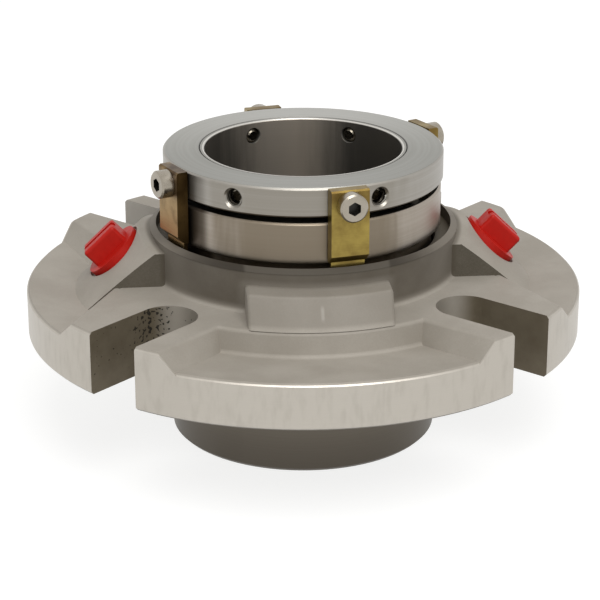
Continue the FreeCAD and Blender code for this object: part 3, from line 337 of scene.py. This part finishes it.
def gland_finish(name, light, dark):
    """Bead-blasted casting with a bright turned rim. Painted shade darkens the hub's wall, the lip's front
    edge and a plain boss's front, and a painted glint marks the boss's front.
    """
    material, tree, shader = start_material(name)
    place = object_place(tree)
    mottle = grain(tree, place["all"], 70.0, detail=5.0)
    speckle = grain(tree, place["all"], 2600.0, detail=2.0)
    blasted = blend_colour(tree, fade(tree, mottle, 0.3, 0.7), dark, light)
    blasted = blend_colour(tree, product(tree, speckle, 0.35), blasted, SPECKLE_TONE)
    # Painted shade on the hub's wall.
    blasted = blend_colour(tree, painted_shade_on_hub(tree, place, mottle), blasted, HUB_PAINTED_SHADE)
    # Painted shade on the lip's front edge.
    blasted = blend_colour(tree, painted_shade_on_lip(tree, place), blasted, LIP_PAINTED_SHADE)
    boss = on_plain_boss(tree, place)
    # Painted shade on a plain boss's front.
    blasted = blend_colour(tree, product(tree, boss, 0.4), blasted, BOSS_PAINTED_SHADE)
    # A painted glint on a plain boss's front.
    glint = product(tree, boss, glint_on_boss(tree, place))
    blasted = blend_colour(tree, glint, blasted, BOSS_GLINT)
    lines = turning_lines(tree, place, 9000.0)
    turned = blend_colour(tree, lines, RIM_DARK, RIM_LIGHT)
    smear_and_reflection = fade(tree, streaks(tree, place, 34.0), 0.45, 0.75, high=0.24)
    turned = blend_colour(tree, smear_and_reflection, turned, RIM_SMEAR)
    rim = fade(tree, place["radius"], GLAND_RADIUS - 0.45 * MM, GLAND_RADIUS - 0.25 * MM)
    give(tree, shader,
         base_colour=blend_colour(tree, rim, blasted, turned),
         metallic=fade(tree, rim, 0.0, 1.0, low=0.1, high=0.95),
         roughness=fade(tree, rim, 0.0, 1.0, low=0.62, high=0.4),
         specular=0.3)
    line_part = product(tree, lines, rim)
    speckle_part = product(tree, speckle, rest_of(tree, rim))
    relief(tree, shader, reckon(tree, "ADD", line_part, speckle_part), 0.02 * MM, 0.5)
    return material


# The gland's slots and nose
SLOT_BROWN_DARK = (0.105, 0.082, 0.048)
SLOT_BROWN_LIGHT = (0.23, 0.195, 0.14)
SLOT_PALE_DARK = (0.36, 0.332, 0.29)
SLOT_PALE_LIGHT = (0.46, 0.43, 0.385)
SLOT_SPECK = (0.02, 0.017, 0.012)
SLOT_PALE_END = (50 * MM, 45 * MM)
SPECKS_OUTER_END = (59 * MM, 52 * MM)
SPECKS_INNER_END = (44 * MM, 48 * MM)
# The nose's colours hold painted shade from the flange above it.
NOSE_DARK = (0.185, 0.16, 0.127)
NOSE_LIGHT = (0.255, 0.225, 0.182)
NOSE_FOOT_SHADE = (0.09, 0.075, 0.056)


def slot_wall_finish():
    """Milled slot walls, dark brown in front and paler behind and towards their inner ends, with specks in
    the front left slot.
    """
    material, tree, shader = start_material("slot_walls_browner_in_front")
    place = object_place(tree)
    stain_and_reflection = grain(tree, place["all"], 160.0, detail=5.0)
    brown = blend_colour(tree, stain_and_reflection, SLOT_BROWN_DARK, SLOT_BROWN_LIGHT)
    paler = blend_colour(tree, stain_and_reflection, SLOT_PALE_DARK, SLOT_PALE_LIGHT)
    inner_end = fade(tree, place["radius"], *SLOT_PALE_END, high=0.6)
    brown = blend_colour(tree, inner_end, brown, paler)
    wall = blend_colour(tree, fade(tree, place["y"], -5 * MM, 5 * MM), brown, paler)
    left = fade(tree, place["x"], -26 * MM, -30 * MM)
    front = fade(tree, place["y"], 0.0, -5 * MM)
    crowd = product(tree, fade(tree, place["radius"], *SPECKS_OUTER_END, high=0.13),
                    fade(tree, place["radius"], *SPECKS_INNER_END))
    specks = reckon(tree, "ADD", grain(tree, place["all"], 1100.0, detail=1.5), crowd)
    specks = product(tree, fade(tree, specks, 0.69, 0.73), left, front)
    give(tree, shader,
         base_colour=blend_colour(tree, specks, wall, SLOT_SPECK),
         metallic=0.3,
         roughness=0.55)
    relief(tree, shader, stain_and_reflection, 0.05 * MM, 0.3)
    return material


def nose_finish():
    """The turned nose below the gland, dull and grey-brown with painted shade from the flange above it, and
    more painted shade towards its foot.
    """
    material, tree, shader = start_material("dull_turned_nose")
    place = object_place(tree)
    lines = turning_lines(tree, place, 7000.0)
    steel = blend_colour(tree, lines, NOSE_DARK, NOSE_LIGHT)
    # Painted shade, growing towards the nose's foot.
    foot_shade = fade(tree, place["z"], -4 * MM, NOSE_BOTTOM, high=0.75)
    give(tree, shader,
         base_colour=blend_colour(tree, foot_shade, steel, NOSE_FOOT_SHADE),
         metallic=0.5,
         roughness=0.42)
    relief(tree, shader, lines, 0.02 * MM, 0.4)
    return material


# Hollows and holes
HOLLOW_DARK = (0.008, 0.007, 0.005)
HOLLOW_LIGHT = (0.03, 0.027, 0.021)
# Painted shade in the setscrew holes and the roots of their threads.
THREAD_ROOT_SHADE = (0.012, 0.01, 0.008)
THREAD_FLANK = (0.15, 0.135, 0.11)
HOLE_EDGE = (0.42, 0.4, 0.36)


def hollow_shade_material():
    """Screw sockets and gaps, painted dark as shade."""
    material, tree, shader = start_material("hollows_painted_shade")
    place = object_place(tree)
    shade = grain(tree, place["all"], 500.0)
    give(tree, shader,
         base_colour=blend_colour(tree, shade, HOLLOW_DARK, HOLLOW_LIGHT),
         metallic=0.5,
         roughness=0.35)
    return material


def tapped_hole_finish():
    """The radial holes of the setscrews, with the turns of their thread, painted dark as shade and darker
    still in the thread's roots, and plain steel at the edge by the mouth.
    """
    material, tree, shader = start_material("tapped_holes_painted_shade")
    place = object_place(tree)
    turns = reckon(tree, "SINE", product(tree, place["radius"], math.tau / THREAD_PITCH))
    steel = blend_colour(tree, fade(tree, turns, -0.6, 0.9), THREAD_ROOT_SHADE, THREAD_FLANK)
    edge = fade(tree, place["radius"], CLAMP_RADIUS - 0.9 * MM, CLAMP_RADIUS - 0.5 * MM)
    give(tree, shader,
         base_colour=blend_colour(tree, edge, steel, HOLE_EDGE),
         metallic=0.9,
         roughness=0.28)
    relief(tree, shader, turns, 0.18 * MM, 0.8)
    return material


# The two rings
# Painted dark reflection on the rings' front, as shares of their dark colour.
FRONT_REFLECTION_SHARES = (0.62, 0.58, 0.5)
# Painted reflection of the left clip on the rings beside it.
RING_CLIP_REFLECTION = (0.03, 0.018, 0.008)
RING_CLIP_REFLECTION_TURN = 303
RING_CLIP_REFLECTION_FADE = (beside(11), beside(6))
RING_TOP_TINT = (0.82, 0.86, 0.87)
# Painted shade in the seam at the rings' bore.
SEAM_SHADE = (0.02, 0.018, 0.014)
# Painted light on the rings' back half.
BACK_PAINTED_LIGHT = (0.75, 0.74, 0.7)


def turned_finish(name, dark, light, roughness, smear_and_reflection):
    """Turned steel. The last argument says how strongly a painted dark reflection, with streaky edges,
    darkens the front of its outer wall.
    """
    material, tree, shader = start_material(name)
    place = object_place(tree)
    lines = turning_lines(tree, place, 12000.0)
    broad = turning_lines(tree, place, 1500.0)
    mixed = product(tree, reckon(tree, "ADD", lines, broad), 0.5)
    steel = blend_colour(tree, fade(tree, mixed, 0.3, 0.7), dark, light)
    # Painted dark reflection on the front of the outer wall, with streaky edges.
    wall = fade(tree, place["z"], CLAMP_TOP - 0.1 * MM, CLAMP_TOP - 0.6 * MM, high=smear_and_reflection)
    front = reckon(tree, "DIVIDE", product(tree, place["y"], -1.0), place["radius"])
    drift = reckon(tree, "ADD", front, product(tree, streaks(tree, place, 5.0), 0.5))
    front_reflection = product(tree, fade(tree, drift, 0.93, 1.12), wall)
    front_reflection_tone = tuple(share * tone for share, tone in zip(FRONT_REFLECTION_SHARES, dark))
    steel = blend_colour(tree, front_reflection, steel, front_reflection_tone)
    # Painted reflection of the left clip, a dark band on the outer wall beside it.
    stain_and_reflection = fade(tree, facing(tree, place, RING_CLIP_REFLECTION_TURN), *RING_CLIP_REFLECTION_FADE, high=0.9)
    steel = blend_colour(tree, product(tree, stain_and_reflection, wall), steel, RING_CLIP_REFLECTION)
    top = fade(tree, place["z"], CLAMP_TOP - 0.2 * MM, CLAMP_TOP - 0.05 * MM)
    steel = blend_colour(tree, top, steel, RING_TOP_TINT, blend="MULTIPLY")
    # Painted shade in the seam between the ring's bore and the sleeve.
    seam_shade = fade(tree, place["radius"], CLAMP_BORE + 0.36 * MM, CLAMP_BORE + 0.26 * MM)
    steel = blend_colour(tree, seam_shade, steel, SEAM_SHADE)
    # Painted light: the rings are paler on their back half.
    painted_back_light = fade(tree, facing(tree, place, 180), -0.4, 0.95, high=0.22)
    give(tree, shader,
         base_colour=blend_colour(tree, painted_back_light, steel, BACK_PAINTED_LIGHT),
         metallic=1.0,
         roughness=fade(tree, lines, 0.3, 0.7, roughness - 0.05, roughness + 0.05))
    shader.inputs["Anisotropic"].default_value = 0.5
    tangent = tree.nodes.new("ShaderNodeTangent")
    tangent.direction_type = "RADIAL"
    tangent.axis = "Z"
    tree.links.new(tangent.outputs[0], shader.inputs["Tangent"])
    relief(tree, shader, lines, 0.01 * MM, 0.4)
    return material


# The sleeve's bore
BORE_LIGHT = (0.56, 0.50, 0.425)
# Painted shade at the bore's sides.
BORE_SIDE_SHADE = (0.095, 0.09, 0.08)
BORE_LINE = (0.16, 0.145, 0.12)
# Painted highlight on the bore's edge.
BORE_EDGE_HIGHLIGHT = (0.62, 0.6, 0.56)
BORE_EDGE_HIGHLIGHT_RADII = (25.08 * MM, 25.16 * MM)
# Painted shade on the outer part of the sleeve's flat end, by the seam.
SLEEVE_END_SHADE = (0.27, 0.262, 0.235)
SLEEVE_END_SHADE_RADII = (25.5 * MM, 25.6 * MM)


def bore_finish():
    """The sleeve's bore, with painted shade towards its sides, a painted highlight on its edge, and the
    sleeve's flat end, darker with painted shade by the seam.
    """
    material, tree, shader = start_material("sleeve_bore_painted_shade")
    place = object_place(tree)
    lines = turning_lines(tree, place, 6000.0)
    # Painted shade towards the bore's sides.
    sideways = reckon(tree, "DIVIDE", place["x"], place["radius"])
    side = reckon(tree, "ABSOLUTE", reckon(tree, "ADD", sideways, 0.1))
    drift = reckon(tree, "ADD", side, product(tree, streaks(tree, place, 9.0), 0.35))
    wall = blend_colour(tree, fade(tree, drift, 0.3, 0.95), BORE_LIGHT, BORE_SIDE_SHADE)
    wall = blend_colour(tree, product(tree, lines, 0.3), wall, BORE_LINE)
    # Painted highlight: a bright ring at the bore's edge.
    wall = blend_colour(tree, fade(tree, place["radius"], *BORE_EDGE_HIGHLIGHT_RADII), wall, BORE_EDGE_HIGHLIGHT)
    # Painted shade on the outer part of the sleeve's flat end, by the seam.
    wall = blend_colour(tree, fade(tree, place["radius"], *SLEEVE_END_SHADE_RADII), wall, SLEEVE_END_SHADE)
    give(tree, shader, base_colour=wall, metallic=0.75, roughness=0.36)
    relief(tree, shader, lines, 0.02 * MM, 0.4)
    return material


# Finishes of the small parts
def plain_metal_finish(name, dark, light, roughness):
    material, tree, shader = start_material(name)
    place = object_place(tree)
    shade = grain(tree, place["all"], 400.0, detail=4.0)
    give(tree, shader,
         base_colour=blend_colour(tree, shade, dark, light),
         metallic=1.0,
         roughness=fade(tree, shade, 0.3, 0.7, roughness - 0.06, roughness + 0.06))
    relief(tree, shader, shade, 0.02 * MM, 0.2)
    return material


def brass_finish(name, brown, yellow):
    """Brass strip, tarnished brown in patches and yellow where it was rubbed, browner towards its top and
    yellower lower down.
    """
    material, tree, shader = start_material(name)
    place = object_place(tree)
    patches = grain(tree, place["all"], 150.0, detail=4.0)
    rolled = turning_lines(tree, place, 5000.0)
    height_shift = fade(tree, place["z"], CLAMP_TOP + 1 * MM, HOLDER_TOP - 2 * MM, low=-0.14, high=0.12)
    amount = product(tree, fade(tree, reckon(tree, "ADD", patches, height_shift), 0.26, 0.72),
                     fade(tree, rolled, 0.3, 0.7, low=0.86))
    give(tree, shader,
         base_colour=blend_colour(tree, amount, brown, yellow),
         metallic=1.0,
         roughness=fade(tree, patches, 0.3, 0.7, low=0.44, high=0.32))
    relief(tree, shader, rolled, 0.01 * MM, 0.3)
    return material


def moulded_finish(name, dark, light, roughness):
    material, tree, shader = start_material(name)
    place = object_place(tree)
    shade = grain(tree, place["all"], 700.0)
    give(tree, shader,
         base_colour=blend_colour(tree, shade, dark, light),
         roughness=fade(tree, shade, 0.3, 0.7, roughness - 0.05, roughness + 0.05),
         specular=0.3)
    relief(tree, shader, shade, 0.03 * MM, 0.25)
    return material


def wear(material, *names):
    for name in names:
        node = nodes[name]
        node.data.materials.clear()
        node.data.materials.append(material)


def paint_faces(name, material, chosen):
    """Gives a second finish to those faces of a node for which chosen says yes."""
    mesh = nodes[name].data
    mesh.materials.append(material)
    number = len(mesh.materials) - 1
    for face in mesh.polygons:
        if chosen(face.center, face.normal):
            face.material_index = number


# Which faces get a second finish
def radius_of(point):
    return math.hypot(point.x, point.y)


def turn_of(point):
    return math.degrees(math.atan2(point.x, -point.y)) % 360


def turn_between(first, second):
    return abs((first - second + 180) % 360 - 180)


def on_nose(centre, normal):
    return centre.z < -0.1 * MM


def on_port_boss_side(centre, normal):
    """The upright sides of the two port bosses, which face -Y and +Y."""
    on_side = abs(abs(centre.y) - PORT_BOSS_HALF) < 0.1 * MM
    return abs(normal.y) > 0.98 and on_side and centre.z > 10 * MM


def on_viewer_side(centre, normal):
    """The narrow side of the left clip that faces the viewer."""
    return normal.x > 0.3 and normal.y < -0.8


def in_recess(centre, normal):
    """Inside the lip, where the holder turns."""
    inside = radius_of(centre) < RECESS_RADIUS + 0.1 * MM
    return inside and 0.0 < centre.z < LIP_TOP - 0.4 * MM


def on_slot_wall(centre, normal):
    lateral = min(abs(centre.x + centre.y), abs(centre.x - centre.y)) / math.sqrt(2)
    along_slot = SLOT_START_RADIUS < radius_of(centre) < GLAND_RADIUS - 1 * MM
    return abs(normal.z) < 0.1 and lateral < SLOT_HALF_WIDTH + 0.1 * MM and along_slot


def in_clamp_ring_hole(centre, normal):
    inside = CLAMP_BORE + 0.05 * MM < radius_of(centre) < CLAMP_RADIUS - 0.55 * MM
    return inside and CLAMP_LOW.z + 0.2 * MM < centre.z < CLAMP_TOP - 0.2 * MM


def in_ring_gap(centre, normal):
    """The faces of the two rings that look at each other, up to their chamfers."""
    return abs(normal.z) > 0.9 and HOLDER_TOP - 0.6 * MM < centre.z < CLAMP_LOW.z + 0.6 * MM


def in_head_socket(centre, normal):
    """Near a clip screw's axis, and not on the outer face of its head."""
    nearest = min(CLIP_ANGLES, key=lambda angle: turn_between(turn_of(centre), angle))
    turn = math.radians(nearest)
    along = centre.x * math.sin(turn) - centre.y * math.cos(turn)
    across = centre.x * math.cos(turn) + centre.y * math.sin(turn)
    from_axis = math.hypot(across, centre.z - CLIP_SCREW_HEIGHT)
    in_depth = HEAD_OUTER_END - SOCKET_DEPTH < along < HEAD_OUTER_END - 0.01 * MM
    return from_axis < SOCKET_RADIUS and in_depth


def finish_gland():
    wear(gland_finish("blasted_and_turned_casting",
                      light=(0.43, 0.396, 0.346), dark=(0.365, 0.333, 0.286)), "gland")
    # A darker copy of the casting's finish: painted shade on the port bosses' upright sides and inside the
    # lip's recess.
    shaded_casting_copy = gland_finish("casting_corners_painted_shade",
                                light=(0.115, 0.1, 0.076), dark=(0.075, 0.064, 0.045))
    paint_faces("gland", shaded_casting_copy, on_port_boss_side)
    paint_faces("gland", shaded_casting_copy, in_recess)
    paint_faces("gland", slot_wall_finish(), on_slot_wall)
    paint_faces("gland", nose_finish(), on_nose)


def finish_rings(hollow, tapped_hole):
    wear(turned_finish("turned_ring_steel", dark=(0.30, 0.282, 0.252), light=(0.37, 0.352, 0.324),
                       roughness=0.34, smear_and_reflection=0.4), "clamp_ring")
    wear(turned_finish("turned_holder_steel", dark=(0.31, 0.272, 0.228), light=(0.38, 0.34, 0.295),
                       roughness=0.36, smear_and_reflection=0.85), "rotary_holder")
    # Painted shade in the gap between the two rings.
    paint_faces("clamp_ring", hollow, in_ring_gap)
    paint_faces("rotary_holder", hollow, in_ring_gap)
    # Painted shade inside the setscrew holes.
    paint_faces("clamp_ring", tapped_hole, in_clamp_ring_hole)
    wear(bore_finish(), "sleeve")


def finish_screws_and_springs(hollow):
    bright = plain_metal_finish("bright_screw_steel", (0.27, 0.238, 0.19), (0.42, 0.385, 0.33), 0.28)
    wear(bright, "clip_screws", "stop_pins")
    wear(bright, "inboard_drive_pins", "outboard_drive_pins", "holder_drive_pins")
    # Painted shade in the clip screws' sockets.
    paint_faces("clip_screws", hollow, in_head_socket)
    wear(plain_metal_finish("setscrew_steel", (0.07, 0.06, 0.045), (0.26, 0.235, 0.19), 0.18),
         "setscrews")
    wear(plain_metal_finish("spring_steel", (0.40, 0.38, 0.36), (0.55, 0.53, 0.50), 0.3),
         "inboard_spring", "outboard_spring")
    # The retaining ring gets the same painted shade.
    wear(hollow, "retaining_ring")


def finish_clips():
    wear(brass_finish("dull_clip_brass", brown=(0.17, 0.112, 0.034), yellow=(0.35, 0.265, 0.072)),
         "clip_front", "clip_right", "clip_back")
    # The left clip, seen at a grazing angle, gets a darker copy of the brass: painted shade.
    wear(brass_finish("left_clip_brass_painted_shade", brown=(0.06, 0.033, 0.012), yellow=(0.33, 0.222, 0.095)),
         "clip_left")
    # Painted shadow on the narrow side of the left clip that faces the viewer.
    dark_side = brass_finish("clip_side_painted_shadow", brown=(0.022, 0.012, 0.004), yellow=(0.09, 0.055, 0.02))
    paint_faces("clip_left", dark_side, on_viewer_side)


def finish_moulded_parts():
    wear(moulded_finish("red_plug_plastic", (0.44, 0.006, 0.002), (0.53, 0.01, 0.003), 0.5),
         "port_plug_left", "port_plug_right")
    rubber = moulded_finish("black_seal_rubber", (0.012, 0.012, 0.012), (0.03, 0.03, 0.03), 0.55)
    wear(rubber, "gland_o_ring", "shaft_o_ring", "holder_o_ring")
    wear(rubber, "inboard_rotary_o_ring", "outboard_rotary_o_ring")
    wear(rubber, "inboard_stationary_o_ring", "outboard_stationary_o_ring")
    wear(moulded_finish("lapped_carbon", (0.03, 0.03, 0.033), (0.05, 0.05, 0.055), 0.32),
         "inboard_stationary_face", "outboard_stationary_face")
    wear(moulded_finish("silicon_carbide", (0.055, 0.055, 0.06), (0.09, 0.09, 0.10), 0.2),
         "inboard_rotary_face", "outboard_rotary_face")


# Threads in the open ends of the six setscrew holes, each a ridge that winds round the hole
THREAD_START = CLAMP_RADIUS - 2.35 * MM
THREAD_TURNS = 2
THREAD_STEPS = 28 * THREAD_TURNS
RIDGE = 0.3 * MM


def wind_thread():
    """One thread along +Z, closed at both ends."""
    quarter = math.radians(90)
    bpy.ops.mesh.primitive_circle_add(
        vertices=3,
        radius=RIDGE,
        location=(SETSCREW_HOLE_RADIUS - 0.45 * RIDGE, 0, 0),
        rotation=(quarter, 0, 0),
    )
    thread = bpy.context.active_object
    bpy.ops.object.transform_apply(location=True, rotation=True, scale=True)
    screw = thread.modifiers.new("winding", "SCREW")
    screw.axis = "Z"
    screw.angle = math.tau * THREAD_TURNS
    screw.screw_offset = THREAD_PITCH * THREAD_TURNS
    screw.steps = THREAD_STEPS
    screw.render_steps = THREAD_STEPS
    bpy.ops.object.modifier_apply(modifier="winding")
    bpy.ops.object.mode_set(mode="EDIT")
    bpy.ops.mesh.select_all(action="SELECT")
    bpy.ops.mesh.fill_holes(sides=3)
    bpy.ops.mesh.normals_make_consistent(inside=False)
    bpy.ops.object.mode_set(mode="OBJECT")
    return thread


def thread_setscrew_holes(material):
    deselect_all()
    pattern = wind_thread()
    for number, angle in enumerate(SETSCREW_ANGLES, start=1):
        make_active(pattern)
        bpy.ops.object.duplicate(linked=False)
        thread = bpy.context.active_object
        thread.name = "setscrew_hole_thread_%d" % number
        turn = math.radians(angle)
        thread.rotation_euler = (math.radians(90), 0, turn)
        outwards = Vector((math.sin(turn), -math.cos(turn), 0))
        thread.location = outwards * THREAD_START + Vector((0, 0, SETSCREW_HEIGHT))
        bpy.ops.object.transform_apply(location=True, rotation=True, scale=True)
        thread.data.materials.append(material)
        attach(thread, "rotor")
    bpy.data.objects.remove(pattern)


# The two springs are pressed flatter as the carbon faces float. Each gets a welded copy that rides on the
# gland.
WELD = 0.0005 * MM


def make_spring_give(name, node_name):
    """A welded copy of a spring, riding on the gland as a whole, so its end stays on its seat in the gland.
    """
    spring = bpy.data.objects.new(name, nodes[node_name].data.copy())
    bpy.context.scene.collection.objects.link(spring)
    make_active(spring)
    bpy.ops.object.mode_set(mode="EDIT")
    bpy.ops.mesh.select_all(action="SELECT")
    bpy.ops.mesh.remove_doubles(threshold=WELD)
    bpy.ops.object.mode_set(mode="OBJECT")
    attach(spring, "gland")
    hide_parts(node_name)
    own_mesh(spring)


# Floor, backdrop and light
def seen_directly(tree):
    """1 for what the camera sees, also in gloss and through glass, and 0 for light that falls on things."""
    path = tree.nodes.new("ShaderNodeLightPath")
    seen = reckon(tree, "ADD", path.outputs["Is Camera Ray"], path.outputs["Is Glossy Ray"])
    seen = reckon(tree, "ADD", seen, path.outputs["Is Transmission Ray"])
    return reckon(tree, "MINIMUM", seen, 1.0)


def lay_floor():
    material, tree, shader = start_material("pale_floor")
    give(tree, shader, base_colour=FLOOR_GREY, roughness=0.9, specular=0.1)
    plug_in(tree, shader.inputs["Emission Color"], FLOOR_GLOW)
    glow = product(tree, seen_directly(tree), FLOOR_GLOW_STRENGTH)
    plug_in(tree, shader.inputs["Emission Strength"], glow)
    bpy.ops.mesh.primitive_plane_add(size=FLOOR_SIZE, location=(0, 0, FLOOR_HEIGHT))
    floor = bpy.context.active_object
    floor.name = "floor"
    bpy.ops.object.transform_apply(location=True, rotation=True, scale=True)
    floor.data.materials.append(material)


def light_world():
    world = bpy.data.worlds.new("studio")
    bpy.context.scene.world = world
    world.use_nodes = True
    tree = world.node_tree
    background = tree.nodes["Background"]
    plug_in(tree, background.inputs["Color"], SKY)
    strength = fade(tree, seen_directly(tree), 0.0, 1.0, low=SKY_LIGHT, high=SKY_AS_SEEN)
    plug_in(tree, background.inputs["Strength"], strength)


def hang_lamp():
    bpy.ops.object.light_add(type="AREA", location=LAMP_SPOT)
    lamp = bpy.context.active_object
    lamp.name = "front_lamp"
    lamp.data.shape = "SQUARE"
    lamp.data.size = LAMP_SIZE
    lamp.data.energy = LAMP_POWER
    lamp.rotation_euler = (Vector(LAMP_SPOT) - AIM).to_track_quat("Z", "Y").to_euler()


bpy.context.scene.view_settings.view_transform = "Standard"
hollow = hollow_shade_material()
tapped_hole = tapped_hole_finish()
finish_gland()
finish_rings(hollow, tapped_hole)
finish_screws_and_springs(hollow)
finish_clips()
finish_moulded_parts()
thread_setscrew_holes(tapped_hole)
make_spring_give("outboard_wave_spring", "outboard_spring")
make_spring_give("inboard_wave_spring", "inboard_spring")
deselect_all()
lay_floor()
light_world()
hang_lamp()
place_camera()
